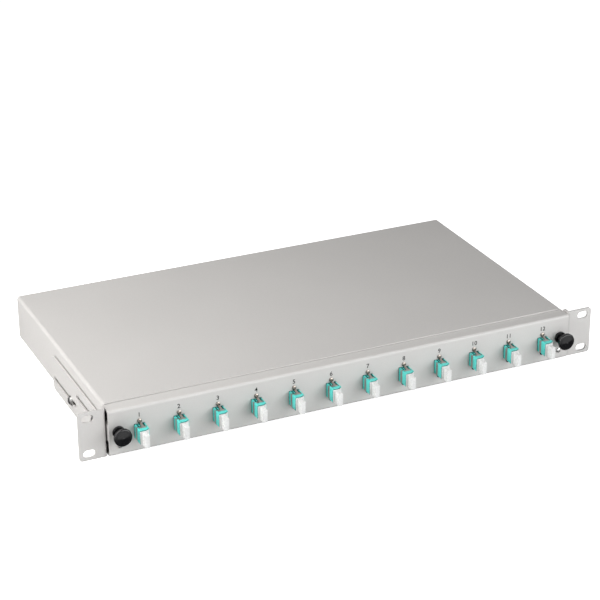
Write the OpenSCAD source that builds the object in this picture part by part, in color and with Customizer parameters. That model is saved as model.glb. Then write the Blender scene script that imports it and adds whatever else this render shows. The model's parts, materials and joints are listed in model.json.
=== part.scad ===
// Rack-mounted fibre termination box, one rack unit high, with a pull-out tray.
// X runs to the right, Y to the rear and Z up, in millimetres.
// The origin is the centre of the rack hole pattern, on the rear face of the mounting ears.

/* [Rack mounting] */
// Width across the two mounting ears
rack_width = 482.6; // [480:0.1:484]
// Height of the mounting ears
ear_height = 43.6; // [43:0.1:44]
// Distance between the left and right rack slots
slot_pitch_x = 465.1; // [464:0.1:466]
// Distance between the upper and lower rack slots
slot_pitch_z = 31.75; // [31:0.25:32.5]
// Length of a rack slot
slot_length = 10.3; // [9:0.1:12]
// Height of a rack slot
slot_height = 6.5; // [6:0.1:7]

/* [Housing] */
// Width of the housing over its side walls
housing_width = 433; // [432.6:0.1:433.4]
// Distance from the ears' rear face to the rear of the housing
housing_rear = 240.5; // [238:0.5:280]
// Thickness of the housing and tray sheet
sheet = 1.2; // [1:0.1:1.2]
// Outside radius of the housing's long bends
housing_bend = 3; // [2.5:0.1:3.2]

/* [Tray] */
// Outside width of the sliding tray
tray_width = 405; // [404.6:0.1:405.2]
// Travel of the tray out of the housing
tray_travel = 150; // [100:5:160]
// Thickness of the front panel and the brackets
plate = 1.5; // [1.3:0.1:1.5]

/* [Ports] */
// Number of duplex adapters in the front panel
port_count = 12; // [1:1:12]
// Distance between neighbouring adapters
port_pitch = 34.5; // [30:0.1:34.6]
// How far an adapter stands out of the front panel
adapter_reach = 12.9; // [12:0.1:15]

/* [Latches] */
// Diameter of a latch knob's head
knob_diameter = 15.5; // [12:0.5:17]

/* [Hidden] */
$fn = 48;
eps = 0.01;
gap = 0.05;

// Housing levels and faces
housing_top = 21.5;
housing_bottom = -20.4;
housing_front = 8.5;
housing_x = housing_width / 2;
wall_x = housing_x - sheet;
cover_flange = 16.5;
rear_wall_y = housing_rear - 2 * sheet;
rear_lip_height = 10;
rear_screw_x = [-180, 0, 180];
rear_screw_z = housing_top - 5.6;
floor_screw_x = housing_x - 9;
floor_screw_y = [40, 125, 215];
rear_lip_inset = 10;
base_half = wall_x - 2.3;
base_bend = 2.4;

// Screws: [head radius, head height, shank radius]
small_screw = [2.8, 1.8, 1.45];
screw_r = small_screw[2];
screw_hole_r = 1.6;
floor_screw_head_r = 2.75;
panel_screw = [2, 1.3, 1.25];
panel_screw_hole_r = 1.4;
adapter_screw = [1.95, 1.3, 0.95];
bracket_screw = [3.3, 2.3, 2];
insert_r = 2.5;
insert_length = 4.5;

// Front panel and tray
face_y = -4.5;
panel_back = face_y + plate;
panel_x = 216.3;
panel_top = housing_top - sheet - 0.12;
panel_bottom = -21.3;
panel_bend = 2.5;
panel_flange_end = 8.3;
tongue_end = 12;
tongue_x = 211;
side_tab_bottom = -8;
side_tab_top = 7;
side_tab_end = 2.6;
side_tab_notch = 1.6;
panel_screw_x = 207.2;
tray_x = tray_width / 2;
tray_floor = housing_bottom + 2 * sheet + 0.8;
tray_top = 12;
tray_end = 222;
tray_front_top = 17.5;
tray_lip_top = -6;
tray_return_x = 214.9;
tray_return_end = 2.6;
tray_return_bend = 1.8;
tray_corner_end = 3.5;
tray_bend = 2.4;

// Latches
latch_x = 208;
latch_z = 0.2;
latch_tab_in = tray_x + 1.8;
latch_tab_half = 5;
latch_hole_r = 3.5;
grommet_hole_r = 3.75;
shaft_r = 1.7;
grommet_head_r = 5.3;
grommet_head_t = 2.2;
grommet_shoulder_t = 1.4;
grommet_leg = 4;

// Ball slides
slide_z = -1.4;
slide_half = 13.5;
slide_front = 12;
slide_length = tray_travel + 60;
slide_wall = 1.2;
ball_r = 1.88;
ball_x = 208;
ball_z = 10.6;
groove_r = 1.95;
inner_half = 8.9;
inner_out = 211.5;
outer_in = 204.6;
cage_length = slide_length - tray_travel / 2 - 1;
cage_start = slide_front + slide_length - cage_length - 2;
cage_plate = 0.8;
ball_count = 9;
ball_pitch = (cage_length - 14) / (ball_count - 1);
slide_screw_y = [for (share = [0.14, 0.5, 0.86]) slide_front + share * slide_length];

// Bracket slots and their screws: [y, z] of each screw
bracket_y_end = 134;
bracket_top = 10.3;
bracket_neck = 7;
bracket_neck_r = 2.5;
bracket_bend_in = 1;
bracket_standoff = 0.8;
bracket_x = housing_x + bracket_standoff;
bracket_screws_yz = [[84, -10.5], [23, 0]];
bracket_slot_front = 13;
bracket_slot_length = 60;
bracket_slot_w = 4.3;
press_nut_r = 2.98;
washer_r = 4.4;
washer_t = 0.8;

// Adapters
adapter_w = 9.4;
adapter_h = 12.8;
adapter_z = -2.5;
adapter_front = face_y - adapter_reach;
adapter_flange_t = 2.3;
adapter_flange_h = 22.2;
adapter_back = panel_back + adapter_flange_t + 13.1;
adapter_screw_pitch = 17.8;
adapter_screw_z = [for (s = [-1, 1]) adapter_z + s * adapter_screw_pitch / 2];
panel_screw_z = adapter_screw_z[0] - 1.2;
nut_hole_r = 1.1;
clip_front = adapter_front + 6.3;
clip_back = adapter_front + 9.6;
clip_bridge_back = clip_front + 1.7;
clip_t = 0.35;
clip_sunk = 0.9;
port_offset = 3.1;
port_side = 4.7;
port_depth = 8.5;
latch_slot_half = 1.2;
adapter_edge = 1.1;
pocket_w = 3.3;
pocket_depth = 1.3;
pocket_front = adapter_front + 4.3;

// The adapter's latch side slopes back at the front, from latch_side_x outwards
latch_side_x = 1.1;
latch_side_back = 2.8;

// Dust caps
cap_left = -4.4;
cap_right = 3.9;
cap_low = -6.3;
cap_high = 5.7;
cap_plate = 1;
cap_grip = 7.2;
cap_grip_left = -2.8;
cap_grip_right = 0.9;
cap_grip_top = 5.2;
cap_plug = 6.5;
sleeve_r = 1.25;

// Rear cable entries
gland_x = 150;
gland_z = -3;
plug_x = 105;
gland_thread_r = 9.9;
gland_bore_r = 6.5;
gland_hex_r = 13.4;
gland_hex_h = 5;
locknut_h = 4.5;
seal_r = 8.4;
seal_h = 8;
dome_r = 11.4;
dome_straight = 7;
dome_taper = 4;
dome_ribs = 12;
plug_head_r = 12;
cable_r = 5.5;
tray_entry_half = 14;

// Splice area
cassette_x = 66;
cassette_front = 100;
cassette_rear = 196;
cassette_h = 11;
cassette_r = 12;
cassette_wall = 1.6;
cassette_lid_t = 1.5;
cassette_boss_r = 4;
cassette_boss_x = cassette_x - 14;
cassette_mid = (cassette_front + cassette_rear) / 2;
coil_wall = [18.6, 20];
coil_x = cassette_x - 40;
fibre_entry_x = cassette_x - 24;
fibre_entry_half = 5;
loom_x = 150;
loom_front = 62;
loom_rear = 212;
loom_r = 42;
loom_w = 14;
loom_h = 7;
tray_floor_top = tray_floor + sheet;
comb_slots = 12;
comb_pitch = 3.5;
comb_length = 14;
comb_h = 6.5;
comb_spread = 18;
comb_z = tray_floor_top + cassette_wall;
splice_r = 1.2;
splice_length = 60;
boot_length = 14;
guide_h = 10;
guide_t = 1.8;

function port_x(i) = (i - (port_count - 1) / 2) * port_pitch;

// ---------- Shared shapes ----------

// A box from its lowest to its highest corner
module box(low, high) {
    translate(low) cube(high - low);
}

// A cylinder along Y from y0 to y1
module rod_y(x, z, r, y0, y1) {
    translate([x, y0, z]) rotate([-90, 0, 0]) cylinder(r = r, h = y1 - y0);
}

// A cylinder along X from x0 to x1
module rod_x(y, z, r, x0, x1) {
    translate([x0, y, z]) rotate([0, 90, 0]) cylinder(r = r, h = x1 - x0);
}

// Extrudes an outline drawn in X and Z along Y, from y0 to y1
module along_y(y0, y1) {
    translate([0, y1, 0]) rotate([90, 0, 0]) linear_extrude(y1 - y0) children();
}

// Extrudes an outline drawn in Y and Z along X, from x0 to x1
module along_x(x0, x1) {
    translate([x0, 0, 0]) rotate([90, 0, 90]) linear_extrude(x1 - x0) children();
}

// A flat strip between two corners
module strip(low, high) {
    translate(low) square(high - low);
}

// A quarter ring about a centre, in the quadrant that sx and sz point to
module bend(centre, outer, thickness, sx, sz) {
    translate(centre) intersection() {
        difference() {
            circle(r = outer);
            circle(r = outer - thickness);
        }
        translate([sx > 0 ? 0 : -outer, sz > 0 ? 0 : -outer]) square(outer);
    }
}

// A slot with round ends, centred, long in its first direction
module slot_outline(length, width) {
    r = width / 2;
    square([length - width, width], center = true);
    for (s = [-1, 1]) translate([s * (length / 2 - r), 0]) circle(r = r);
}

// A rectangle with round corners, from corner to corner
module round_rect(low, high, r) {
    strip([low.x + r, low.y], [high.x - r, high.y]);
    strip([low.x, low.y + r], [high.x, high.y - r]);
    for (x = [low.x + r, high.x - r], y = [low.y + r, high.y - r])
        translate([x, y]) circle(r = r);
}

// Draws its children on the right and mirrored on the left
module both_sides() {
    children();
    mirror([1, 0, 0]) children();
}

// Two crossed bars, centred, rising along Z
module cross(long, wide, depth) {
    for (size = [[long, wide], [wide, long]])
        translate([-size.x / 2, -size.y / 2, 0]) cube([size.x, size.y, depth]);
}

// A screw with a domed head and a cross recess. It is seated at Z = 0, with its head upwards.
// size holds its head radius, head height and shank radius.
module pan_screw(size, length) {
    head_r = size[0];
    head_h = size[1];
    crown = 0.5 * head_h;
    dome = (head_r * head_r + crown * crown) / (2 * crown);
    difference() {
        union() {
            intersection() {
                cylinder(r = head_r, h = head_h);
                translate([0, 0, head_h - dome]) sphere(r = dome, $fn = 96);
            }
            translate([0, 0, -length]) cylinder(r = size[2], h = length + eps);
        }
        translate([0, 0, 0.45 * head_h]) cross(1.15 * head_r, 0.28 * head_r, head_h);
    }
}

// Turns what points up to point to the front, to the rear, or to the right or left
module to_front(at) {
    translate(at) rotate([90, 0, 0]) children();
}

module to_rear(at) {
    translate(at) rotate([-90, 0, 0]) children();
}

module to_side(at, side) {
    translate(at) rotate([0, side * 90, 0]) children();
}

// ---------- Housing ----------

module cover_outline() {
    z_top = housing_top;
    z_low = housing_bottom;
    r = housing_bend;
    strip([-housing_x + r, z_top - sheet], [housing_x - r, z_top]);
    both_sides_2d() {
        bend([housing_x - r, z_top - r], r, sheet, 1, 1);
        strip([wall_x, z_low + r], [housing_x, z_top - r]);
        bend([housing_x - r, z_low + r], r, sheet, 1, -1);
        strip([housing_x - cover_flange, z_low], [housing_x - r, z_low + sheet]);
    }
}

module both_sides_2d() {
    children();
    mirror([1, 0]) children();
}

// The tab inside each side wall that a latch locks into
module latch_tab() {
    difference() {
        box([latch_tab_in, housing_front, latch_z - latch_tab_half],
            [wall_x + eps, housing_front + sheet, latch_z + latch_tab_half]);
        rod_y(latch_x, latch_z, latch_hole_r, housing_front - 1, housing_front + 3);
    }
}

// Top, side walls, bottom flanges and rear lip, bent from one sheet
module housing_cover() {
    color("lightgray") difference() {
        union() {
            along_y(housing_front, housing_rear) cover_outline();
            box([-housing_x + rear_lip_inset, housing_rear - sheet, housing_top - rear_lip_height],
                [housing_x - rear_lip_inset, housing_rear, housing_top - sheet / 2]);
            both_sides() latch_tab();
        }
        for (x = rear_screw_x)
            rod_y(x, rear_screw_z, screw_hole_r, housing_rear - 2, housing_rear + 1);
        both_sides() {
            for (p = bracket_screws_yz) rod_x(p.x, p.y, press_nut_r, wall_x - 1, housing_x + 1);
            for (y = floor_screw_y)
                translate([floor_screw_x, y, housing_bottom - eps])
                    cylinder(r1 = floor_screw_head_r + 0.15, r2 = screw_hole_r, h = sheet + 2 * eps);
        }
    }
}

// Floor and rear wall, bent from one sheet, inside the cover
module housing_base() {
    z0 = housing_bottom + sheet;
    r = base_bend;
    color("lightgray") difference() {
        along_x(-base_half, base_half) {
            strip([housing_front + 0.5, z0], [rear_wall_y + sheet - r, z0 + sheet]);
            bend([rear_wall_y + sheet - r, z0 + r], r, sheet, 1, -1);
            strip([rear_wall_y, z0 + r], [rear_wall_y + sheet, housing_top - sheet - 0.5]);
        }
        for (x = rear_screw_x)
            rod_y(x, rear_screw_z, screw_hole_r, rear_wall_y - 1, rear_wall_y + 3);
        both_sides() {
            rod_y(gland_x, gland_z, gland_thread_r + 0.2, rear_wall_y - 1, rear_wall_y + 3);
            rod_y(plug_x, gland_z, gland_thread_r + 0.2, rear_wall_y - 1, rear_wall_y + 3);
            for (y = floor_screw_y)
                translate([floor_screw_x, y, z0 - 1]) cylinder(r = screw_hole_r, h = 4);
        }
    }
}

module housing_rear_screws() {
    color("silver") for (x = rear_screw_x)
        to_rear([x, housing_rear, rear_screw_z]) pan_screw(small_screw, housing_rear - rear_wall_y + 3);
}

module housing_floor_screws() {
    color("silver") both_sides() for (y = floor_screw_y)
        translate([floor_screw_x, y, housing_bottom]) difference() {
            union() {
                cylinder(r1 = floor_screw_head_r, r2 = screw_r, h = sheet);
                cylinder(r = screw_r, h = 2 * sheet);
            }
            translate([0, 0, -eps]) cross(3, 0.7, 0.7);
        }
}

// ---------- Ball slides, drawn on the right ----------

module slide_outer() {
    z = slide_z;
    top = slide_half;
    color("gainsboro") difference() {
        along_y(slide_front, slide_front + slide_length) difference() {
            union() {
                strip([wall_x - slide_wall, z - top], [wall_x, z + top]);
                for (s = [-1, 1])
                    strip([outer_in, z + min(s * top, s * (top - slide_wall))],
                          [wall_x, z + max(s * top, s * (top - slide_wall))]);
            }
            for (s = [-1, 1]) translate([ball_x, z + s * ball_z]) circle(r = groove_r);
        }
        for (p = bracket_screws_yz) rod_x(p.x, p.y, press_nut_r + 0.2, wall_x - 3, wall_x + 1);
    }
}

module slide_inner() {
    z = slide_z;
    top = inner_half;
    color("gainsboro") difference() {
        along_y(slide_front, slide_front + slide_length) difference() {
            union() {
                strip([tray_x, z - top], [tray_x + slide_wall, z + top]);
                for (s = [-1, 1])
                    strip([tray_x, z + min(s * top, s * (top - slide_wall))],
                          [inner_out, z + max(s * top, s * (top - slide_wall))]);
            }
            for (s = [-1, 1]) translate([ball_x, z + s * ball_z]) circle(r = groove_r);
        }
        for (y = slide_screw_y) rod_x(y, z, screw_hole_r, tray_x - 1, tray_x + 3);
    }
}

module ball_cage() {
    z = slide_z;
    out = wall_x - slide_wall - 0.2;
    reach = ball_z + cage_plate / 2;
    color("tan") difference() {
        along_y(cage_start, cage_start + cage_length) {
            strip([out - cage_plate, z - reach], [out, z + reach]);
            for (s = [-1, 1])
                strip([outer_in + 0.6, z + s * ball_z - cage_plate / 2],
                      [out, z + s * ball_z + cage_plate / 2]);
        }
        for (i = [0 : ball_count - 1])
            translate([ball_x, ball_y(i), z - reach - 1]) cylinder(r = ball_r + 0.12, h = 2 * reach + 2);
    }
}

function ball_y(i) = cage_start + cage_length / 2 + (i - (ball_count - 1) / 2) * ball_pitch;

module cage_balls() {
    color("silver") for (i = [0 : ball_count - 1], s = [-1, 1])
        translate([ball_x, ball_y(i), slide_z + s * ball_z]) sphere(r = ball_r);
}

module slide_screws() {
    color("silver") both_sides() for (y = slide_screw_y)
        to_side([tray_x - sheet, y, slide_z], -1) pan_screw(small_screw, sheet + slide_wall);
}

// ---------- Mounting brackets, drawn on the right ----------

module ear_outline() {
    r = 2.8;
    x0 = bracket_x + plate + bracket_bend_in;
    x1 = rack_width / 2;
    half = ear_height / 2;
    difference() {
        union() {
            strip([x0, -half], [x1 - r, half]);
            strip([x0, -half + r], [x1, half - r]);
            for (s = [-1, 1]) translate([x1 - r, s * (half - r)]) circle(r = r);
        }
        for (s = [-1, 1]) translate([slot_pitch_x / 2, s * slot_pitch_z / 2])
            slot_outline(slot_length, slot_height);
    }
}

module side_plate_outline() {
    r = 4;
    half = ear_height / 2;
    strip([bracket_bend_in, -half], [bracket_neck - bracket_neck_r, half]);
    strip([bracket_bend_in, -half], [bracket_neck, half - bracket_neck_r]);
    translate([bracket_neck - bracket_neck_r, half - bracket_neck_r]) circle(r = bracket_neck_r);
    strip([bracket_bend_in, -half], [bracket_y_end - r, bracket_top]);
    strip([bracket_bend_in, -half + r], [bracket_y_end, bracket_top - r]);
    for (z = [-half + r, bracket_top - r]) translate([bracket_y_end - r, z]) circle(r = r);
}

module mounting_bracket() {
    half = ear_height / 2;
    outer = plate + bracket_bend_in;
    color("lightgray") difference() {
        union() {
            along_y(-plate, 0) ear_outline();
            translate([0, 0, -half]) linear_extrude(ear_height)
                bend([bracket_x + outer, bracket_bend_in], outer, plate, -1, -1);
            along_x(bracket_x, bracket_x + plate) side_plate_outline();
        }
        for (p = bracket_screws_yz)
            along_x(bracket_x - 1, bracket_x + plate + 1)
                translate([p.x - bracket_slot_front + bracket_slot_length / 2, p.y])
                    slot_outline(bracket_slot_length, bracket_slot_w);
    }
}

module bracket_press_nuts() {
    color("silver") both_sides() for (p = bracket_screws_yz) difference() {
        rod_x(p.x, p.y, press_nut_r, wall_x - slide_wall + 0.1, bracket_x - gap);
        rod_x(p.x, p.y, bracket_screw[2] + gap, wall_x - 3, bracket_x + 1);
    }
}

module bracket_washers() {
    seat = bracket_x + plate + gap;
    color("silver") both_sides() for (p = bracket_screws_yz) difference() {
        rod_x(p.x, p.y, washer_r, seat, seat + washer_t);
        rod_x(p.x, p.y, bracket_screw[2] + 0.15, seat - 1, seat + 2);
    }
}

module bracket_screws() {
    seat = bracket_x + plate + gap + washer_t;
    inner_end = wall_x - slide_wall + 0.1;
    color("silver") both_sides() for (p = bracket_screws_yz)
        to_side([seat, p.x, p.y], 1) pan_screw(bracket_screw, seat - inner_end);
}

// ---------- Front panel and tray ----------

module panel_outline() {
    r = panel_bend;
    strip([face_y, panel_bottom + r], [panel_back, panel_top - r]);
    bend([face_y + r, panel_top - r], r, plate, -1, 1);
    bend([face_y + r, panel_bottom + r], r, plate, -1, -1);
    strip([face_y + r, panel_top - plate], [panel_flange_end, panel_top]);
    strip([face_y + r, panel_bottom], [panel_flange_end - 0.1, panel_bottom + plate]);
}

module port_window() {
    box([-adapter_w / 2 - 0.15, face_y - 1, adapter_z - adapter_h / 2 - 0.15],
        [adapter_w / 2 + 0.15, panel_back + 1, adapter_z + adapter_h / 2 + 0.15]);
    for (z = adapter_screw_z) rod_y(0, z, nut_hole_r, face_y - 1, panel_back + 1);
}

module front_panel() {
    color("lightgray") difference() {
        union() {
            along_x(-panel_x, panel_x) panel_outline();
            box([-tongue_x, panel_flange_end - eps, panel_top - plate],
                [tongue_x, tongue_end, panel_top]);
            both_sides() box([panel_x - plate, panel_back - eps, side_tab_bottom],
                             [panel_x, side_tab_end, side_tab_top]);
        }
        for (i = [0 : port_count - 1]) translate([port_x(i), 0, 0]) port_window();
        both_sides() {
            rod_y(latch_x, latch_z, grommet_hole_r, face_y - 1, panel_back + 1);
            rod_y(panel_screw_x, panel_screw_z, panel_screw_hole_r, face_y - 1, panel_back + 1);
        }
    }
}

module tray_outline() {
    r = tray_bend;
    strip([-tray_x + r, tray_floor], [tray_x - r, tray_floor + sheet]);
    both_sides_2d() {
        bend([tray_x - r, tray_floor + r], r, sheet, 1, -1);
        strip([tray_x - sheet, tray_floor + r], [tray_x, tray_top]);
    }
}

// The tray's outward front flange with its bent return lip, drawn on the right. It is
// narrower where the panel's side tab passes it.
module tray_front_flange() {
    z0 = tray_floor;
    r = tray_return_bend;
    difference() {
        translate([0, 0, z0]) linear_extrude(tray_front_top - z0) {
            strip([tray_x - sheet, panel_back], [tray_return_x - r, panel_back + sheet]);
            bend([tray_return_x - r, panel_back + r], r, sheet, 1, -1);
            strip([tray_return_x - sheet, panel_back + r], [tray_return_x, tray_return_end]);
        }
        box([tray_return_x - side_tab_notch, panel_back - 1, side_tab_bottom - 0.7],
            [tray_return_x + 1, tray_return_end + 1, side_tab_top + 0.7]);
    }
    box([tray_x - sheet, panel_back, z0 + tray_bend], [tray_x, tray_corner_end, tray_front_top]);
}

module tray() {
    back = panel_back + sheet;
    color("lightgray") difference() {
        union() {
            along_y(panel_back + sheet, tray_end) tray_outline();
            both_sides() tray_front_flange();
            box([-tray_x + tray_bend, tray_end - sheet, tray_floor],
                [tray_x - tray_bend, tray_end, tray_lip_top]);
        }
        both_sides() {
            rod_y(latch_x, latch_z, grommet_hole_r, panel_back - 1, back + 1);
            rod_y(panel_screw_x, panel_screw_z, insert_r, panel_back - 1, back + 1);
            for (y = slide_screw_y) rod_x(y, slide_z, screw_hole_r, tray_x - 3, tray_x + 1);
            // Cable entries in the low rear wall
            box([gland_x - tray_entry_half, tray_end - 3, tray_floor + 3],
                [gland_x + tray_entry_half, tray_end + 1, 0]);
        }
        for (s = [-1, 1])
            translate([s * cassette_boss_x, cassette_mid, tray_floor - 1])
                cylinder(r = screw_hole_r, h = 4);
    }
}

module panel_screws() {
    color("silver") both_sides()
        to_front([panel_screw_x, face_y, panel_screw_z]) pan_screw(panel_screw, plate + 4);
}

module panel_inserts() {
    color("silver") both_sides() difference() {
        rod_y(panel_screw_x, panel_screw_z, insert_r - 0.02, panel_back, panel_back + insert_length);
        rod_y(panel_screw_x, panel_screw_z, panel_screw[2] + gap,
            panel_back - 1, panel_back + insert_length + 1);
    }
}

// ---------- Latches, drawn on the right ----------

module latch_grommet() {
    body_end = panel_back + sheet + grommet_shoulder_t;
    leg_end = housing_front + sheet + grommet_leg;
    head_front = face_y - grommet_head_t;
    slit = 0.6;
    color("black") difference() {
        union() {
            rod_y(latch_x, latch_z, grommet_head_r, head_front + 0.6, face_y);
            rod_y(latch_x, latch_z, grommet_head_r - 0.4, head_front, face_y - 1);
            rod_y(latch_x, latch_z, grommet_hole_r - 0.03, face_y - eps, body_end);
            rod_y(latch_x, latch_z, latch_hole_r - 0.25, body_end - eps, leg_end);
        }
        rod_y(latch_x, latch_z, shaft_r + 0.1, head_front - 1, leg_end + 1);
        for (a = [0, 90]) translate([latch_x, 0, latch_z]) rotate([0, a, 0])
            box([-slit, body_end + 1, -latch_hole_r - 1], [slit, leg_end + 1, latch_hole_r + 1]);
    }
}

// Half outline of the knob: radius against distance in front of the panel
module knob_outline() {
    r = knob_diameter / 2;
    neck_r = 3.4;
    neck_start = grommet_head_t + 0.4;
    flare = 7.1;
    rim = 9.9;
    dome = 13.1;
    dome_r = 24;
    edge = 1.1;
    strip([0, neck_start], [neck_r, flare + 1]);
    polygon([[0, flare], [neck_r, flare], [r - 0.8, rim - 0.6], [r, rim],
             [r, rim + 1.6], [0, rim + 1.6]]);
    strip([0, rim], [r - edge, rim + 1.5 + edge]);
    translate([r - edge, rim + 1.5]) circle(r = edge);
    intersection() {
        translate([0, dome - dome_r]) circle(r = dome_r, $fn = 96);
        strip([0, rim + 1.2], [r - edge, dome + 1]);
    }
}

module latch_knob() {
    color("black") union() {
        translate([latch_x, face_y, latch_z]) rotate([90, 0, 0])
            rotate_extrude($fn = 64) knob_outline();
        rod_y(latch_x, latch_z, shaft_r, face_y - 4, housing_front + sheet + 3);
    }
}

// ---------- Adapters ----------

module adapter_body() {
    w = adapter_w / 2;
    h = adapter_h / 2;
    color("turquoise") difference() {
        union() {
            along_y(adapter_front, adapter_back)
                round_rect([-w, adapter_z - h], [w, adapter_z + h], adapter_edge);
            box([-w, panel_back, adapter_z - adapter_flange_h / 2],
                [w, panel_back + adapter_flange_t, adapter_z + adapter_flange_h / 2]);
        }
        // Groove for the spring clip, on both wide sides
        for (s = [-1, 1])
            box([min(s * (w - clip_t), s * (w + 1)), clip_front, adapter_z - h - 1],
                [max(s * (w - clip_t), s * (w + 1)), clip_back, adapter_z + h + 1]);
        // Pockets in the narrow sides, with a rib left standing in the upper one
        for (s = [-1, 1]) difference() {
            box([-pocket_w, pocket_front, adapter_z + min(s * (h - pocket_depth), s * (h + 1))],
                [pocket_w, face_y, adapter_z + max(s * (h - pocket_depth), s * (h + 1))]);
            box([-2, clip_bridge_back, adapter_z - h - 2], [-1.1, face_y - 1.6, adapter_z + h + 2]);
        }
        // Ways for the clip's bridge: open on one side, a window on the other
        box([-w - 1, clip_front, adapter_z + h - clip_sunk],
            [-pocket_w + eps, clip_bridge_back, adapter_z + h + 1]);
        box([pocket_w - eps, clip_front, adapter_z + h - clip_sunk],
            [w + 1, clip_bridge_back, adapter_z + h - clip_sunk + clip_t + gap]);
        // Two ports at each end, with latch slots, and the sleeve bores between them
        for (s = [-1, 1]) translate([0, 0, adapter_z + s * port_offset]) {
            port_cavity(adapter_front - 1, adapter_front + port_depth);
            port_cavity(adapter_back - port_depth, adapter_back + 1);
            rod_y(0, 0, sleeve_r + 0.03, adapter_front, adapter_back);
        }
        // The latch side slopes back at the front
        translate([0, 0, adapter_z - h - 1]) linear_extrude(2 * h + 2)
            polygon([[latch_side_x, adapter_front], [latch_side_x, adapter_front - 1],
                     [w + 1, adapter_front - 1], [w + 1, latch_side_y(w + 1)]]);
        for (z = adapter_screw_z) rod_y(0, z, nut_hole_r, panel_back - 1, panel_back + 4);
    }
}

// The front of the adapter's sloping latch side at a distance x from its centre
function latch_side_y(x) =
    adapter_front + (x - latch_side_x) * latch_side_back / (adapter_w / 2 - latch_side_x);

module port_cavity(y0, y1) {
    half = port_side / 2;
    box([-half, y0, -half], [half, y1, half]);
    box([half - eps, y0, -latch_slot_half], [half + 1, y1, latch_slot_half]);
}

// The adapter's spring clip: two side arms, a bridge sunk in the narrow side, a plate in
// the pocket in front of the bridge, and a sloping tongue that presses on the panel
module adapter_clip() {
    w = adapter_w / 2;
    h = adapter_h / 2;
    t = clip_t;
    top = adapter_z + h;
    sunk = top - clip_sunk;
    y0 = clip_front + gap;
    y1 = clip_back - gap;
    bridge_end = clip_bridge_back - gap;
    press_end = face_y - 0.4;
    plate_x = [-0.8, 3.1];
    press_x = [-0.1, 1.9];
    color("silver") union() {
        for (s = [-1, 1])
            box([min(s * (w - t), s * w), y0, adapter_z - h + 0.6],
                [max(s * (w - t), s * w), y1, sunk + t]);
        box([-w, y0, sunk], [w, bridge_end, sunk + t]);
        box([plate_x[0], pocket_front + gap, sunk], [plate_x[1], bridge_end, sunk + t]);
        along_x(press_x[0], press_x[1])
            polygon([[bridge_end - t, sunk], [press_end, top], [press_end, top + t],
                     [bridge_end - t, sunk + t]]);
    }
}

module adapter_screw_set() {
    color("silver") for (z = adapter_screw_z)
        to_front([0, face_y, z]) pan_screw(adapter_screw, 6.1);
}

module adapter_nut_set() {
    back = panel_back + adapter_flange_t;
    color("silver") for (z = adapter_screw_z) to_rear([0, back, z]) difference() {
        cylinder(r = 2.3, h = 1.6, $fn = 6);
        translate([0, 0, -1]) cylinder(r = adapter_screw[2] + gap, h = 4);
    }
}

module sleeve_pair() {
    middle = (adapter_front + adapter_back) / 2;
    color("white") for (s = [-1, 1]) difference() {
        rod_y(0, adapter_z + s * port_offset, sleeve_r, middle - 5.7, middle + 5.7);
        rod_y(0, adapter_z + s * port_offset, 0.64, middle - 7, middle + 7);
    }
}

module at_ports() {
    for (i = [0 : port_count - 1]) translate([port_x(i), 0, 0]) children();
}

// A duplex dust cap: a plate that follows the adapter's front, with a plug into each port
// and one upright grip in front
module dust_cap(i) {
    plug = port_side / 2 - 0.15;
    front = adapter_front - cap_plate;
    slope_end = latch_side_y(cap_right);
    color("white") translate([port_x(i), 0, adapter_z]) {
        translate([0, 0, cap_low]) linear_extrude(cap_high - cap_low)
            polygon([[cap_left, front], [latch_side_x, front], [cap_right, slope_end - cap_plate],
                     [cap_right, slope_end], [latch_side_x, adapter_front], [cap_left, adapter_front]]);
        for (s = [-1, 1]) translate([0, 0, s * port_offset])
            box([-plug, adapter_front - eps, -plug], [plug, adapter_front + cap_plug, plug]);
        box([cap_grip_left, front - cap_grip, cap_low],
            [cap_grip_right, adapter_front - eps, cap_grip_top]);
    }
}

// ---------- Pigtails and splice area ----------

module pigtail_connector_pair() {
    plug = port_side / 2 - 0.2;
    color("beige") for (s = [-1, 1]) translate([0, 0, adapter_z + s * port_offset]) {
        box([-plug, adapter_back - port_depth + 1, -plug], [plug, adapter_back + 2, plug]);
        box([-2.7, adapter_back + 0.3, -2.7], [2.7, adapter_back + 9, 2.7]);
    }
}

module pigtail_boot_pair() {
    color("white") for (s = [-1, 1]) to_rear([0, adapter_back + 9, adapter_z + s * port_offset])
        cylinder(r1 = 2, r2 = 1, h = boot_length);
}

// The bundle of fibres lying round the tray, with a straight lead from every boot
module pigtail_loom() {
    low = [-loom_x, loom_front];
    high = [loom_x, loom_rear];
    z0 = tray_floor_top + 0.5;
    color("khaki") union() {
        translate([0, 0, z0]) linear_extrude(loom_h) difference() {
            round_rect(low, high, loom_r);
            round_rect(low + [loom_w, loom_w], high - [loom_w, loom_w], loom_r - loom_w);
        }
        translate([0, 0, z0]) linear_extrude(loom_h / 2)
            strip([port_x(0) - 1, loom_front + 3], [port_x(port_count - 1) + 1, loom_front + 11]);
        for (i = [0 : port_count - 1])
            box([port_x(i) - 0.9, adapter_back + 9 + boot_length, z0],
                [port_x(i) + 0.9, loom_front + 4, adapter_z + 4]);
    }
}

module cassette_outline(inset) {
    round_rect([-cassette_x + inset, cassette_front + inset],
               [cassette_x - inset, cassette_rear - inset], cassette_r - inset);
}

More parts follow.
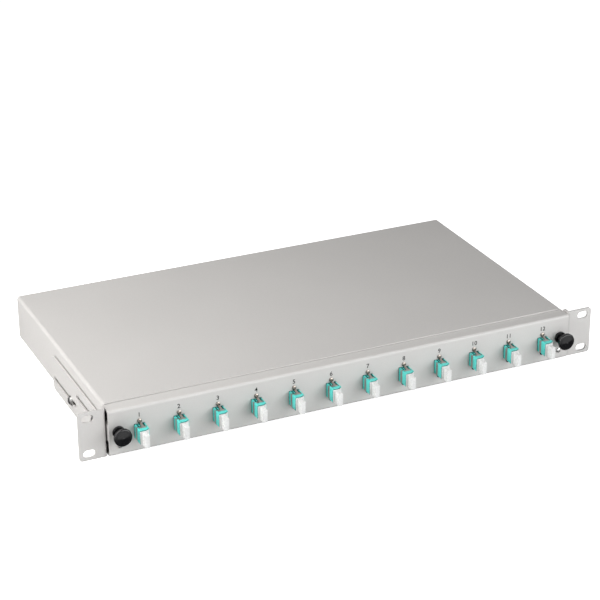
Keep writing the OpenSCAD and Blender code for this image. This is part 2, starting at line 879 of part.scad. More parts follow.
module cassette_base() {
    z0 = tray_floor_top;
    wall = cassette_wall;
    color("whitesmoke") difference() {
        translate([0, 0, z0]) linear_extrude(cassette_h) cassette_outline(0);
        translate([0, 0, z0 + wall]) linear_extrude(cassette_h) difference() {
            cassette_outline(wall);
            for (s = [-1, 1]) {
                translate([s * cassette_boss_x, cassette_mid]) circle(r = cassette_boss_r);
                translate([s * coil_x, cassette_mid]) coil_guide(s);
            }
        }
        for (s = [-1, 1]) {
            translate([s * cassette_boss_x, cassette_mid, z0 - 1])
                cylinder(r = screw_hole_r, h = cassette_h + 3);
            // Fibre entries at the front corners
            box([s * fibre_entry_x - fibre_entry_half, cassette_front - 1, z0 + wall + 1],
                [s * fibre_entry_x + fibre_entry_half, cassette_front + wall + 1, z0 + cassette_h + 1]);
        }
    }
}

// A half-ring wall that the slack fibre is coiled round, open towards the middle
module coil_guide(side) {
    r = coil_wall[1];
    difference() {
        circle(r = r);
        circle(r = coil_wall[0]);
        translate([side * -12 - 12, -r - 1]) square([24, 2 * r + 2]);
    }
}

module cassette_lid() {
    z0 = tray_floor_top + cassette_h + 0.1;
    color("azure", 0.4) difference() {
        translate([0, 0, z0]) linear_extrude(cassette_lid_t) cassette_outline(0);
        for (s = [-1, 1]) translate([s * cassette_boss_x, cassette_mid, z0 - 1])
            cylinder(r = screw_hole_r, h = cassette_lid_t + 2);
    }
}

module cassette_screws() {
    top = tray_floor_top + cassette_h + 0.1 + cassette_lid_t;
    color("silver") for (s = [-1, 1])
        translate([s * cassette_boss_x, cassette_mid, top]) pan_screw(small_screw, top - tray_floor);
}

function comb_x(i) = (i - (comb_slots - 1) / 2) * comb_pitch;

// Two blocks whose grooves hold the splice protectors, one behind the other
module splice_combs() {
    width = comb_slots * comb_pitch + 2;
    groove = 2 * splice_r + 0.3;
    color("dimgray") for (s = [-1, 1])
        translate([0, cassette_mid + s * comb_spread - comb_length / 2, comb_z]) difference() {
            translate([-width / 2, 0, 0]) cube([width, comb_length, comb_h]);
            for (i = [0 : comb_slots - 1]) translate([comb_x(i) - groove / 2, -1, 1.2])
                cube([groove, comb_length + 2, comb_h]);
        }
}

// Heat-shrunk splice protectors, two to a groove
module splice_protectors() {
    color("lavender", 0.6) for (i = [0 : comb_slots - 1], level = [0, 1])
        rod_y(comb_x(i), comb_z + 1.4 + splice_r + level * (2 * splice_r + 0.1), splice_r,
              cassette_mid - splice_length / 2, cassette_mid + splice_length / 2);
}

// Quarter-round walls that keep the fibres' bend radius inside the loom's corners
module bend_guides() {
    r = loom_r - loom_w - 1;
    z0 = tray_floor_top;
    color("whitesmoke") for (sx = [0, 1], sy = [0, 1])
        translate([0, (loom_front + loom_rear) / 2, z0]) mirror([sx, 0, 0]) mirror([0, sy, 0])
            translate([loom_x - loom_r, (loom_rear - loom_front) / 2 - loom_r, 0])
                linear_extrude(guide_h) bend([0, 0], r, guide_t, 1, 1);
}

// ---------- Rear cable entries, one on each side ----------

module cable_gland_bodies() {
    y0 = rear_wall_y + sheet;
    color("gray") both_sides() to_rear([gland_x, y0, gland_z]) difference() {
        union() {
            rotate([0, 0, 30]) cylinder(r = gland_hex_r, h = gland_hex_h, $fn = 6);
            translate([0, 0, -12]) cylinder(r = gland_thread_r, h = 13);
        }
        translate([0, 0, -13]) cylinder(r = gland_bore_r, h = 20);
    }
}

module cable_gland_locknuts() {
    color("gray") both_sides() to_rear([gland_x, rear_wall_y - locknut_h, gland_z]) difference() {
        rotate([0, 0, 30]) cylinder(r = gland_hex_r, h = locknut_h, $fn = 6);
        translate([0, 0, -1]) cylinder(r = gland_thread_r + gap, h = locknut_h + 2);
    }
}

module cable_gland_seals() {
    y0 = rear_wall_y + sheet + gland_hex_h;
    color("black") both_sides() to_rear([gland_x, y0, gland_z]) difference() {
        cylinder(r = seal_r, h = seal_h);
        translate([0, 0, -1]) cylinder(r = cable_r, h = seal_h + 2);
    }
}

module cable_gland_domes() {
    y0 = rear_wall_y + sheet + gland_hex_h;
    color("gray") both_sides() to_rear([gland_x, y0, gland_z]) difference() {
        union() {
            cylinder(r = dome_r, h = dome_straight);
            translate([0, 0, dome_straight - eps])
                cylinder(r1 = dome_r, r2 = seal_r - 0.2, h = dome_taper);
            for (k = [1 : dome_ribs]) rotate([0, 0, k * 360 / dome_ribs])
                translate([dome_r - 0.8, -0.9, 0]) cube([1.5, 1.8, dome_straight - 0.5]);
        }
        translate([0, 0, -1]) cylinder(r = seal_r + gap, h = seal_h + 1.1);
        translate([0, 0, 5]) cylinder(r = gland_bore_r, h = 10);
    }
}

module blanking_plugs() {
    y0 = rear_wall_y + sheet;
    color("gray") both_sides() to_rear([plug_x, y0, gland_z]) difference() {
        union() {
            cylinder(r = plug_head_r, h = 2.4);
            translate([0, 0, -7]) cylinder(r = gland_thread_r, h = 7 + eps);
        }
        translate([0, 0, -8]) cylinder(r = gland_thread_r - 2, h = 7.5);
        translate([-7, -1, 1.4]) cube([14, 2, 2]);
    }
}

// ---------- Assembly ----------

housing_cover();
housing_base();
housing_rear_screws();
housing_floor_screws();
mirror([1, 0, 0]) slide_outer();  // slide_outer_left
slide_outer();  // slide_outer_right
bracket_press_nuts();
bracket_screws();
bracket_washers();
cable_gland_bodies();
cable_gland_locknuts();
cable_gland_seals();
cable_gland_domes();
blanking_plugs();
mirror([1, 0, 0]) mounting_bracket();  // mounting_bracket_left
mounting_bracket();  // mounting_bracket_right
front_panel();
tray();
panel_screws();
panel_inserts();
mirror([1, 0, 0]) slide_inner();  // slide_inner_left
slide_inner();  // slide_inner_right
slide_screws();
mirror([1, 0, 0]) ball_cage();  // ball_cage_left
ball_cage();  // ball_cage_right
mirror([1, 0, 0]) cage_balls();  // cage_balls_left
cage_balls();  // cage_balls_right
mirror([1, 0, 0]) latch_grommet();  // latch_grommet_left
latch_grommet();  // latch_grommet_right
mirror([1, 0, 0]) latch_knob();  // latch_knob_left
latch_knob();  // latch_knob_right
at_ports() adapter_body();  // adapter_bodies
at_ports() adapter_clip();  // adapter_clips
at_ports() adapter_screw_set();  // adapter_screws
at_ports() adapter_nut_set();  // adapter_nuts
at_ports() sleeve_pair();  // alignment_sleeves
at_ports() pigtail_connector_pair();  // pigtail_connectors
at_ports() pigtail_boot_pair();  // pigtail_boots
pigtail_loom();
cassette_base();
cassette_lid();
cassette_screws();
splice_combs();
splice_protectors();
bend_guides();
dust_cap(0);  // dust_cap_01
dust_cap(1);  // dust_cap_02
dust_cap(2);  // dust_cap_03
dust_cap(3);  // dust_cap_04
dust_cap(4);  // dust_cap_05
dust_cap(5);  // dust_cap_06
dust_cap(6);  // dust_cap_07
dust_cap(7);  // dust_cap_08
dust_cap(8);  // dust_cap_09
dust_cap(9);  // dust_cap_10
dust_cap(10);  // dust_cap_11
dust_cap(11);  // dust_cap_12
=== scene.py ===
"""Looks of the rack-mounted fibre termination box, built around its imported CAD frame.

Every length is in metres, in the CAD frame: +X to the right, +Y to the rear, +Z up.
"""
import itertools
import json
import math
import random

import bpy
from mathutils import Matrix, Vector


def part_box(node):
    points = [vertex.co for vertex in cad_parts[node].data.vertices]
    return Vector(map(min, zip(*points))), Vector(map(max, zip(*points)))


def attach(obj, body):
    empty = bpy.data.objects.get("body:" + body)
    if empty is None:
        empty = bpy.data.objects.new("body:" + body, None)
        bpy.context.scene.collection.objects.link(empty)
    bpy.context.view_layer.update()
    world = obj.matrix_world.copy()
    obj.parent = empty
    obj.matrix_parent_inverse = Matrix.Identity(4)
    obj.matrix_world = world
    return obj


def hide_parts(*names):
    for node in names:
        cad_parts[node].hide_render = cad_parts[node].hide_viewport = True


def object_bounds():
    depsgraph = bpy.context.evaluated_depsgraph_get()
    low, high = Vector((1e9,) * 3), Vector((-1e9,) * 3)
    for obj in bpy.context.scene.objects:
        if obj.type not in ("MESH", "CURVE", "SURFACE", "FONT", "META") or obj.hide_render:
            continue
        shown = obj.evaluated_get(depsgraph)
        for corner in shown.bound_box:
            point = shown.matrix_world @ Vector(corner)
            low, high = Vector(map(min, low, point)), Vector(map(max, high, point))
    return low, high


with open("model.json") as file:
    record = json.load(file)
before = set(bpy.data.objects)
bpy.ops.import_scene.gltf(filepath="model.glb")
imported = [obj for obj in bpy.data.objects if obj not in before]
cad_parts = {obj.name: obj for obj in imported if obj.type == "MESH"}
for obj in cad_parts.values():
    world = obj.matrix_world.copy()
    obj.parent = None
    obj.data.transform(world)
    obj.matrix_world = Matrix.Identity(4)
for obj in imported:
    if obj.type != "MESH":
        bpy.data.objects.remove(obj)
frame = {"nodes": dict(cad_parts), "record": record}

cad_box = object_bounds()
MM = 0.001
PORTS = [m for m in frame["record"]["mounts"] if m["name"].startswith("port_")]
# Height of a printed digit, and its share of the font's size
DIGIT_HEIGHT = 3.75 * MM
DIGIT_SHARE = 0.69
DIGIT_SPACING = 1.06
NUMBER_Z = 12 * MM
INK_DEPTH = 0.02 * MM
INK_SPREAD = 0.09 * MM
FIBRE_RADIUS = 0.45 * MM
SPLICE_RADIUS = 1.2 * MM
# Half the width of the fibre bundle round the tray, and its distance from the guides
LANE_HALF = 7 * MM
LANE_GAP = 1 * MM
FIBRE_COLOURS = [
    ("blue", (0.02, 0.10, 0.55)), ("orange", (0.85, 0.22, 0.02)), ("green", (0.02, 0.32, 0.09)),
    ("brown", (0.16, 0.07, 0.03)), ("slate", (0.28, 0.30, 0.32)), ("white", (0.80, 0.80, 0.78)),
    ("red", (0.62, 0.02, 0.02)), ("black", (0.015, 0.015, 0.015)), ("yellow", (0.85, 0.62, 0.03)),
    ("violet", (0.22, 0.06, 0.42)), ("rose", (0.80, 0.30, 0.38)), ("aqua", (0.06, 0.55, 0.55)),
]


# ---------- Materials ----------

# The part of a noise texture's output that holds nearly all of its values
NOISE_MIDDLE = 0.3, 0.7


def ranged(tree, from_low, from_high, low, high):
    """A node that maps one range of values to another."""
    node = tree.nodes.new("ShaderNodeMapRange")
    ends = zip(("From Min", "From Max", "To Min", "To Max"), (from_low, from_high, low, high))
    for name, value in ends:
        node.inputs[name].default_value = value
    return node


class Look:
    """A material under construction: its node tree, and short ways to add nodes to it."""

    def __init__(self, name, roughness=0.5, metallic=0.0, **inputs):
        self.material = bpy.data.materials.new(name)
        self.material.use_nodes = True
        self.nodes = self.material.node_tree.nodes
        self.shader = self.nodes["Principled BSDF"]
        self.set(Roughness=roughness, Metallic=metallic, **inputs)
        self.place = self.nodes.new("ShaderNodeTexCoord").outputs["Object"]

    def set(self, **values):
        """Sets shader inputs by name, with _ for a space."""
        for key, value in values.items():
            self.shader.inputs[key.replace("_", " ")].default_value = value

    def drive(self, key, output):
        self.join(output, self.shader.inputs[key])

    def join(self, output, target):
        self.material.node_tree.links.new(output, target)

    def stretched(self, scale):
        """The object's coordinates, scaled along each axis."""
        node = self.nodes.new("ShaderNodeMapping")
        node.inputs["Scale"].default_value = scale
        self.join(self.place, node.inputs["Vector"])
        return node.outputs["Vector"]

    def noise(self, scale, detail=3.0, place=None):
        node = self.nodes.new("ShaderNodeTexNoise")
        node.inputs["Scale"].default_value = scale
        node.inputs["Detail"].default_value = detail
        self.join(place or self.place, node.inputs["Vector"])
        return node.outputs["Fac"]

    def blend(self, factor, low, high):
        """A colour that goes from low to high as factor goes over the middle of a noise."""
        node = self.nodes.new("ShaderNodeValToRGB")
        for end, position, colour in zip(node.color_ramp.elements, NOISE_MIDDLE, (low, high)):
            end.position = position
            end.color = (*colour, 1)
        self.join(factor, node.inputs["Fac"])
        return node.outputs["Color"]

    def span(self, factor, low, high):
        """A value that goes from low to high as factor goes over the middle of a noise."""
        node = ranged(self.material.node_tree, *NOISE_MIDDLE, low, high)
        self.join(factor, node.inputs["Value"])
        return node.outputs["Result"]

    def multiply(self, a, b):
        node = self.nodes.new("ShaderNodeMix")
        node.data_type = "RGBA"
        node.blend_type = "MULTIPLY"
        node.inputs["Factor"].default_value = 1.0
        self.join(a, node.inputs["A"])
        self.join(b, node.inputs["B"])
        return node.outputs["Result"]

    def crevices(self, reach, depth):
        """Painted shade: white in the open, darker where other surfaces lie within reach."""
        near = self.nodes.new("ShaderNodeAmbientOcclusion")
        near.samples = 6
        near.inputs["Distance"].default_value = reach
        node = self.nodes.new("ShaderNodeGamma")
        node.inputs["Gamma"].default_value = depth
        self.join(near.outputs["AO"], node.inputs["Color"])
        return node.outputs["Color"]

    def relief(self, height, strength, distance, rounded=0.0):
        """Bump from a height; rounded also softens hard edges over that radius."""
        node = self.nodes.new("ShaderNodeBump")
        node.inputs["Strength"].default_value = strength
        node.inputs["Distance"].default_value = distance
        self.join(height, node.inputs["Height"])
        if rounded:
            edge = self.nodes.new("ShaderNodeBevel")
            edge.samples = 4
            edge.inputs["Radius"].default_value = rounded
            self.join(edge.outputs["Normal"], node.inputs["Normal"])
        self.drive("Normal", node.outputs["Normal"])


def shades(colour, spread):
    """A slightly darker and a slightly lighter version of a colour."""
    return [tuple(min(1.0, c * (1 + side * spread)) for c in colour) for side in (-1, 1)]


def powder_coat(name, colour=(0.565, 0.553, 0.542)):
    """Fine-textured sprayed coat: orange peel and faint mottling."""
    look = Look(name, roughness=0.5, Coat_Weight=0.08, Coat_Roughness=0.35)
    mottle = look.blend(look.noise(9.0, 4.0), *shades(colour, 0.02))
    grain = look.blend(look.noise(1500.0, 2.0), (0.955, 0.955, 0.955), (1.0, 1.0, 1.0))
    look.drive("Base Color", look.multiply(mottle, grain))
    look.drive("Roughness", look.span(look.noise(420.0, 2.0), 0.42, 0.54))
    look.relief(look.noise(900.0, 3.0), 0.10, 0.08 * MM, rounded=0.35 * MM)
    return look.material


def plated_steel(name, colour=(0.66, 0.66, 0.65), roughness=(0.22, 0.40), along=(60, 8, 60)):
    """Zinc plate with faint drawing lines and a cloudy passivation tint."""
    look = Look(name, metallic=1.0)
    cloud = look.blend(look.noise(60.0, 3.0), *shades(colour, 0.07))
    lines = look.noise(45.0, 4.0, look.stretched(along))
    streaks = look.blend(lines, (0.9, 0.9, 0.91), (1.0, 1.0, 1.0))
    look.drive("Base Color", look.multiply(cloud, streaks))
    look.drive("Roughness", look.span(lines, *roughness))
    look.relief(lines, 0.08, 0.02 * MM, rounded=0.12 * MM)
    return look.material


def small_screw_steel(name):
    """The adapters' small screws: brownish nickel, its base colour darkened as painted shade that dims
    their reflections.
    """
    return plated_steel(name, (0.30, 0.27, 0.24), (0.16, 0.34), (80, 80, 80))


def spring_steel(name):
    return plated_steel(name, (0.52, 0.48, 0.45), (0.30, 0.48), (30, 160, 30))


def cage_brass(name):
    return plated_steel(name, (0.66, 0.52, 0.28), (0.25, 0.42), (60, 6, 60))


def ball_steel(name):
    """Hard polished steel with a thin film of grease."""
    look = Look(name, roughness=0.08, metallic=1.0, Coat_Weight=0.3)
    film = look.noise(500.0, 2.0)
    look.drive("Base Color", look.blend(film, (0.68, 0.69, 0.70), (0.80, 0.80, 0.79)))
    look.drive("Roughness", look.span(film, 0.06, 0.16))
    return look.material


def moulded(name, colour, roughness=(0.34, 0.46), texture=0.06, scatter=0.0, rounded=0.2 * MM,
            shaded=False, **inputs):
    """Injection-moulded plastic: a fine eroded texture, faint flow marks, some light scattered inside.

    A shaded one gets painted shade: its colour is darkened in its narrow ways, where other surfaces lie
    near.
    """
    look = Look(name, **inputs)
    flow = look.blend(look.noise(130.0, 3.0), *shades(colour, 0.035))
    if shaded:
        # Painted shade: the colour is darkened in recesses and narrow ways
        flow = look.multiply(flow, look.crevices(1.6 * MM, 2.2))
    look.drive("Base Color", flow)
    look.drive("Roughness", look.span(look.noise(700.0, 2.0), *roughness))
    if scatter:
        look.set(Subsurface_Weight=scatter, Subsurface_Scale=1.2 * MM, Subsurface_Radius=(0.8, 0.8, 0.8))
    look.relief(look.noise(1900.0, 2.0), texture, 0.05 * MM, rounded=rounded)
    return look.material


def aqua_plastic(name):
    # Its colour carries painted shade in the recesses round the clip
    return moulded(name, (0.085, 0.62, 0.565), (0.26, 0.38), scatter=0.12, shaded=True)


def cap_plastic(name):
    return moulded(name, (0.70, 0.705, 0.70), (0.22, 0.36), scatter=0.2, rounded=0.3 * MM, IOR=1.5)


def black_plastic(name):
    """Glossy black moulding with faint handling smears."""
    look = Look(name, IOR=1.5)
    smear = look.noise(90.0, 4.0, look.stretched((1, 3, 1)))
    look.drive("Base Color", look.blend(smear, (0.004, 0.004, 0.005), (0.009, 0.009, 0.010)))
    look.drive("Roughness", look.span(smear, 0.05, 0.12))
    look.relief(look.noise(300.0, 2.0), 0.02, 0.02 * MM, rounded=0.25 * MM)
    return look.material


def zirconia(name):
    return moulded(name, (0.88, 0.87, 0.83), (0.08, 0.16), texture=0.01, scatter=0.2)


def connector_beige(name):
    return moulded(name, (0.62, 0.54, 0.42), (0.30, 0.42))


def boot_white(name):
    return moulded(name, (0.80, 0.80, 0.79), (0.5, 0.65), texture=0.1, scatter=0.15)


def cassette_white(name):
    return moulded(name, (0.72, 0.72, 0.70), (0.38, 0.55), texture=0.15)


def comb_grey(name):
    return moulded(name, (0.055, 0.057, 0.06), (0.55, 0.75), texture=0.2)


def gland_grey(name):
    return moulded(name, (0.22, 0.225, 0.23), (0.40, 0.58), texture=0.2)


def seal_rubber(name):
    return moulded(name, (0.02, 0.02, 0.021), (0.62, 0.8), texture=0.2)


def clear_moulding(name, tint=(0.93, 0.97, 0.97), roughness=(0.03, 0.09)):
    """Clear plastic with hairline scratches and a faint tint."""
    look = Look(name, Transmission_Weight=0.92, IOR=1.49)
    look.drive("Base Color", look.blend(look.noise(30.0, 2.0), *shades(tint, 0.02)))
    scratches = look.noise(25.0, 5.0, look.stretched((6, 120, 6)))
    look.drive("Roughness", look.span(scratches, *roughness))
    look.relief(scratches, 0.02, 0.02 * MM)
    return look.material


def clear_lid(name):
    return clear_moulding(name)


def splice_clear(name):
    return clear_moulding(name, (0.86, 0.89, 0.93), (0.1, 0.22))


def fibre_jacket(name, colour=(0.62, 0.55, 0.25)):
    return moulded(name, colour, (0.30, 0.42), texture=0.03, scatter=0.1, rounded=0)


def printed_ink(name):
    """Screen-printed ink: dark grey, slightly uneven."""
    look = Look(name, roughness=0.45)
    density = look.noise(1600.0, 3.0)
    look.drive("Base Color", look.blend(density, (0.006, 0.006, 0.007), (0.020, 0.020, 0.022)))
    return look.material


LOOKS = [powder_coat, plated_steel, spring_steel, cage_brass, ball_steel, aqua_plastic, cap_plastic,
         black_plastic, zirconia, connector_beige, boot_white, cassette_white, comb_grey, gland_grey,
         seal_rubber, clear_lid, splice_clear, fibre_jacket]
SLOT_LOOKS = {look.__name__: look for look in LOOKS}
SLOT_LOOKS["zinc_steel"] = plated_steel
NODE_LOOKS = {"adapter_screws": small_screw_steel}
EASED_EDGES = {"housing_cover": 0.5 * MM, "adapter_bodies": 0.2 * MM,
               **{part["node"]: 0.3 * MM for part in frame["record"]["subparts"]
                  if part["node"].startswith("dust_cap_")}}


def dress_cad_nodes():
    """Gives each CAD node the material of its slot, or its own where it has one."""
    made = {}
    for part in frame["record"]["subparts"]:
        slot = part["material_slot"]
        look = NODE_LOOKS.get(part["node"], SLOT_LOOKS[slot])
        if look not in made:
            made[look] = look(slot if look is SLOT_LOOKS[slot] else look.__name__)
        mesh = frame["nodes"][part["node"]].data
        mesh.materials.clear()
        mesh.materials.append(made[look])


def ease_edges():
    """Rounds the hard edges of the cover and the moulded nodes, as coating and moulding do."""
    for name, width in EASED_EDGES.items():
        node = frame["nodes"][name]
        weld = node.modifiers.new("weld", "WELD")
        weld.merge_threshold = 0.002 * MM
        edges = node.modifiers.new("eased edges", "BEVEL")
        edges.width = width
        edges.segments = 2
        edges.limit_method = "ANGLE"
        edges.angle_limit = math.radians(50)
        normals = node.modifiers.new("flat faces", "WEIGHTED_NORMAL")
        normals.weight = 100


# ---------- Printed port numbers ----------

def port_numbers():
    """A printed number above each adapter, as a thin raised print on the front panel."""
    panel_low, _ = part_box("front_panel")
    ink = printed_ink("printed_ink")
    for number, port in enumerate(PORTS, 1):
        text = bpy.data.curves.new(f"port_number_{number:02d}", "FONT")
        text.body = str(number)
        text.size = DIGIT_HEIGHT / DIGIT_SHARE
        text.align_x = "CENTER"
        text.extrude = INK_DEPTH
        text.offset = INK_SPREAD
        text.space_character = DIGIT_SPACING
        text.materials.append(ink)
        print_ = bpy.data.objects.new(text.name, text)
        print_.rotation_euler = (math.radians(90), 0, 0)
        print_.location = (port["pos_m"][0], panel_low[1] - INK_DEPTH, NUMBER_Z - DIGIT_HEIGHT / 2)
        bpy.context.scene.collection.objects.link(print_)
        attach(print_, "drawer")


# ---------- Pigtail fibres ----------

def arc(centre, radius, start, end, steps=7):
    """Points on an arc from angle start to angle end, in degrees."""
    angles = [math.radians(start + (end - start) * k / steps) for k in range(steps + 1)]
    return [Vector((centre[0] + radius * math.cos(a), centre[1] + radius * math.sin(a))) for a in angles]


def filled(points, step):
    """The points with more of them along the straight runs, no further apart than step."""
    result = [points[0]]
    for a, b in zip(points, points[1:]):
        count = max(1, math.ceil((b - a).length / step))
        result += [a.lerp(b, k / count) for k in range(1, count + 1)]
    return result


def ease(value):
    """0 to 1 with a soft start and end."""
    value = min(1.0, max(0.0, value))
    return value * value * (3 - 2 * value)


def mix(a, b, share):
    return a + (b - a) * share


class Loom:
    """The way round the tray: the CAD loom's middle line, then into the splice cassette.

    Its places come from the boxes of the CAD nodes. The way is drawn for a port on the right; a port
    on the left has its mirror image.
    """

    def __init__(self):
        loom_low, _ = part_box("pigtail_loom")
        guide_low, guide_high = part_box("bend_guides")
        cassette_low, cassette_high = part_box("cassette_base")
        boots_low, boots_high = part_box("pigtail_boots")
        splice_low, splice_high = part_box("splice_protectors")
        self.side = guide_high[0] + LANE_GAP + LANE_HALF
        self.front = guide_low[1] - LANE_GAP - LANE_HALF
        self.rear = guide_high[1] + LANE_GAP + LANE_HALF
        self.boots_end = boots_high[1]
        self.boot_z = boots_low[2] + 2 * MM, boots_high[2] - 2 * MM
        self.lane_z = loom_low[2] + 3.5 * MM
        self.cassette_x, self.cassette_rear = cassette_high[0], cassette_high[1]
        self.cassette_front = cassette_low[1]
        self.cassette_z = cassette_low[2] + 5 * MM
        self.splice_x = splice_high[0] - SPLICE_RADIUS
        self.splice_z = splice_low[2] + SPLICE_RADIUS, splice_high[2] - SPLICE_RADIUS
        self.splice_end = splice_high[1] - 2 * MM

    def way(self, port_x, splice_x):
        """Points of the middle line on the tray's floor, from a port to a splice protector."""
        r, turn, coil, hook = (length * MM for length in (35, 26, 24, 13))
        inset, entry_inset, swerve, swerve_steps = 6 * MM, 24 * MM, 36 * MM, 6
        x, y0, y1 = self.side - r, self.front + r, self.rear - r
        entry, lane = self.cassette_x - entry_inset, self.cassette_x - inset
        back = self.cassette_rear - inset
        leave = self.cassette_front - self.front
        points = [Vector((port_x, self.boots_end - 3 * MM))]
        points += arc((port_x - turn, self.front - turn), turn, 0, 90)
        points += arc((-x, y0), r, 270, 180) + arc((-x, y1), r, 180, 90)
        points += arc((x, y1), r, 90, 0) + arc((x, y0), r, 0, -90)
        points += arc((entry + leave, self.cassette_front), leave, 270, 180)
        for k in range(1, swerve_steps + 1):
            share = k / swerve_steps
            points.append(Vector((mix(entry, lane, ease(share)), self.cassette_front + share * swerve)))
        points += arc((lane - coil, back - coil), coil, 0, 90)
        points += arc((splice_x + hook, back - hook), hook, 90, 180)
        points.append(Vector((splice_x, self.splice_end)))
        return filled(points, 14 * MM)

    def strand(self, port_x, splice_x, level, offset):
        """Points in space of one fibre; offset is its place in the bundle, sideways and upwards."""
        way = self.way(abs(port_x), splice_x)
        spans = [0.0] + list(itertools.accumulate((b - a).length for a, b in zip(way, way[1:])))
        total = spans[-1]
        points = []
        for k, (place, along) in enumerate(zip(way, spans)):
            heading = (way[min(k + 1, len(way) - 1)] - way[max(k - 1, 0)]).normalized()
            joined = ease((along - 8 * MM) / (45 * MM))
            left = ease((along - total + 230 * MM) / (60 * MM))
            ending = ease((along - total + 40 * MM) / (36 * MM))
            # A slow waviness, out of step from fibre to fibre
            drift = 0.8 * MM * math.sin(along * 23 + offset[0] * 4000)
            sideways = (offset[0] + drift) * joined * (1 - 0.55 * left) * (1 - ending)
            z = mix(self.boot_z[level], self.lane_z + offset[1], joined)
            z = mix(z, self.cassette_z + 0.6 * offset[1], left)
            z = mix(z, self.splice_z[level], ending)
            points.append((math.copysign(1, port_x) * (place.x - heading.y * sideways),
                           place.y + heading.x * sideways, z))
        return points


def pigtail_fibres():
    """Two coloured fibres from every adapter, laid round the tray and into the splice protectors."""
    loom = Loom()
    chance = random.Random(5)
    jackets = [fibre_jacket(f"fibre_{name}", colour) for name, colour in FIBRE_COLOURS]
    half = len(PORTS) // 2
    bundle = LANE_HALF * 0.78, 2.6 * MM
    for number in range(2 * len(PORTS)):
        port, level = divmod(number, 2)
        slot = port - half if port >= half else half - 1 - port
        splice_x = loom.splice_x * (slot + 0.5) / (half - 0.5)
        angle, reach = chance.uniform(0, 2 * math.pi), math.sqrt(chance.uniform(0.02, 1))
        offset = bundle[0] * reach * math.cos(angle), bundle[1] * reach * math.sin(angle)
        points = loom.strand(PORTS[port]["pos_m"][0], splice_x, level, offset)
        curve = bpy.data.curves.new(f"pigtail_fibre_{number + 1:02d}", "CURVE")
        curve.dimensions = "3D"
        curve.bevel_depth = FIBRE_RADIUS
        curve.bevel_resolution = 2
        curve.use_fill_caps = True
        line = curve.splines.new("POLY")
        line.points.add(len(points) - 1)
        for point, place in zip(line.points, points):
            point.co = (*place, 1)
        curve.materials.append(jackets[number % len(jackets)])
        fibre = bpy.data.objects.new(curve.name, curve)
        bpy.context.scene.collection.objects.link(fibre)
        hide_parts("pigtail_loom")
        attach(fibre, "drawer")


# ---------- Camera, floor and light ----------

# Brightness of the white that the camera sees and that glossy parts see in painted reflections, and of
# the light from all round
PAPER_WHITE = 0.85
AMBIENT = 0.09


def camera():
    """A long lens above the box's front left."""
    azimuth, elevation, roll = (math.radians(a) for a in (-24.403, 24.794, -0.356))
    aim = Vector((-14.1, 72.9, 40.2)) * MM
    distance = 1.7
    back = Vector((math.sin(azimuth) * math.cos(elevation),
                   -math.cos(azimuth) * math.cos(elevation), math.sin(elevation)))
    data = bpy.data.cameras.new("camera")
    data.lens = 117.06
    data.sensor_width = 36
    data.shift_x, data.shift_y = 0.0062, 0.0131
    data.clip_end = 50
    eye = bpy.data.objects.new("camera", data)
    eye.matrix_world = (Matrix.Translation(aim + back * distance)
                        @ back.to_track_quat("Z", "Y").to_matrix().to_4x4()
                        @ Matrix.Rotation(roll, 4, "Z"))
    bpy.context.scene.collection.objects.link(eye)
    bpy.context.scene.camera = eye


def by_ray(tree, ray, seen, other):
    """The value or socket seen for one sort of ray, and the value or socket other for every other ray."""
    path = tree.nodes.new("ShaderNodeLightPath")
    choice = tree.nodes.new("ShaderNodeMix")
    for value, target in ((seen, choice.inputs["B"]), (other, choice.inputs["A"])):
        if isinstance(value, float):
            target.default_value = value
        else:
            tree.links.new(value, target)
    tree.links.new(path.outputs[f"Is {ray} Ray"], choice.inputs["Factor"])
    return choice.outputs["Result"]


def ahead(tree, coordinate, near, far, low, high):
    """A value that goes from low to high as a coordinate's y goes from near to far."""
    place = tree.nodes.new("ShaderNodeTexCoord")
    split = tree.nodes.new("ShaderNodeSeparateXYZ")
    ramp = ranged(tree, near, far, low, high)
    tree.links.new(place.outputs[coordinate], split.inputs[0])
    tree.links.new(split.outputs["Y"], ramp.inputs["Value"])
    return ramp.outputs["Result"]


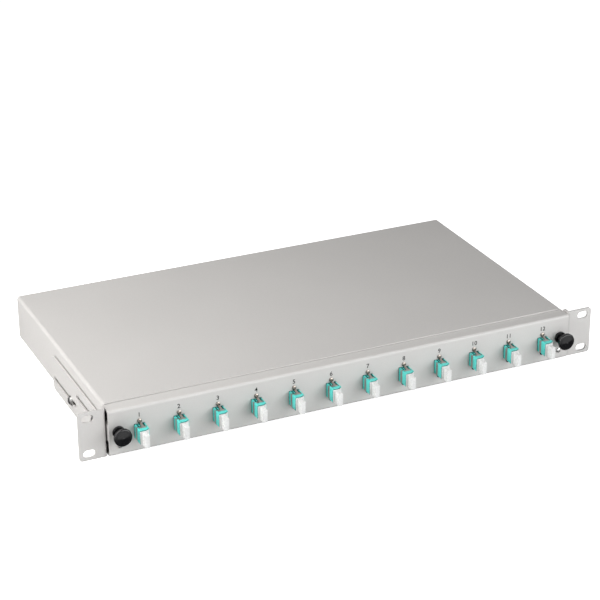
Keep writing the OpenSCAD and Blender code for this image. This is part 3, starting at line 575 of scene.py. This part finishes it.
def floor():
    """A pale floor that the camera sees as white; in a painted reflection, glossy parts see it dark close
    by and glowing bright ahead.
    """
    low, _ = cad_box
    clearance, dark_end, bright_start = 0.2 * MM, -52 * MM, -66 * MM
    bpy.ops.mesh.primitive_plane_add(size=16, location=(0, 0, low[2] - clearance))
    plane = bpy.context.object
    plane.name = "floor"
    look = Look("floor", roughness=0.9, Emission_Color=(1, 1, 1, 1))
    tree = look.material.node_tree
    pale = look.blend(look.noise(3.0), (0.83, 0.83, 0.83), (0.85, 0.85, 0.85))
    # Painted reflection: glossy rays see the floor's colour nearly black
    look.drive("Base Color", look.multiply(pale, by_ray(tree, "Glossy", 0.03, 1.0)))
    # Painted reflection: a glow that only glossy rays see, none close in front of the box (a painted
    # shadow) and white further ahead
    in_front = ahead(tree, "Object", dark_end, bright_start, 0.0, PAPER_WHITE)
    mirrored = by_ray(tree, "Glossy", in_front, 0.0)
    look.drive("Emission Strength", by_ray(tree, "Camera", PAPER_WHITE, mirrored))
    plane.data.materials.append(look.material)


def area_light(name, place, aim, size, power, tint):
    """A soft rectangular light at a place, turned to its aim."""
    data = bpy.data.lights.new(name, "AREA")
    data.shape = "RECTANGLE"
    data.size, data.size_y = size
    data.energy = power
    data.color = tint
    light = bpy.data.objects.new(name, data)
    light.location = place
    light.rotation_euler = (Vector(place) - Vector(aim)).to_track_quat("Z", "Y").to_euler()
    bpy.context.scene.collection.objects.link(light)


def studio():
    """White surroundings for the camera, dim ones lighting the object, a painted reflection of bright
    surroundings ahead that only glossy rays see, and three soft lights.
    """
    world = bpy.data.worlds.new("studio")
    world.use_nodes = True
    background = world.node_tree.nodes["Background"]
    background.inputs["Color"].default_value = (1, 1, 1, 1)
    tree = world.node_tree
    # Painted reflection: glossy rays alone see the surroundings bright ahead and dim elsewhere
    in_front = ahead(tree, "Generated", -0.2, -0.5, 0.06, PAPER_WHITE)
    mirrored = by_ray(tree, "Glossy", in_front, AMBIENT)
    tree.links.new(by_ray(tree, "Camera", 1.0, mirrored), background.inputs["Strength"])
    scene = bpy.context.scene
    scene.world = world
    scene.view_settings.view_transform = "Standard"
    area_light("key", place=(-0.55, 0.12, 0.60), aim=(-0.12, 0.05, 0), size=(0.7, 0.7),
               power=6.8, tint=(1.0, 0.985, 0.965))
    area_light("front_fill", place=(0.8, -1.2, 0.48), aim=(0.08, 0, 0), size=(1.8, 1.2),
               power=25.5, tint=(0.985, 0.995, 1.0))
    area_light("left_fill", place=(-1.5, -0.15, 0.35), aim=(-0.2, 0, 0), size=(0.6, 0.6),
               power=8.4, tint=(1.0, 1.0, 1.0))


dress_cad_nodes()
ease_edges()
port_numbers()
pigtail_fibres()
camera()
floor()
studio()
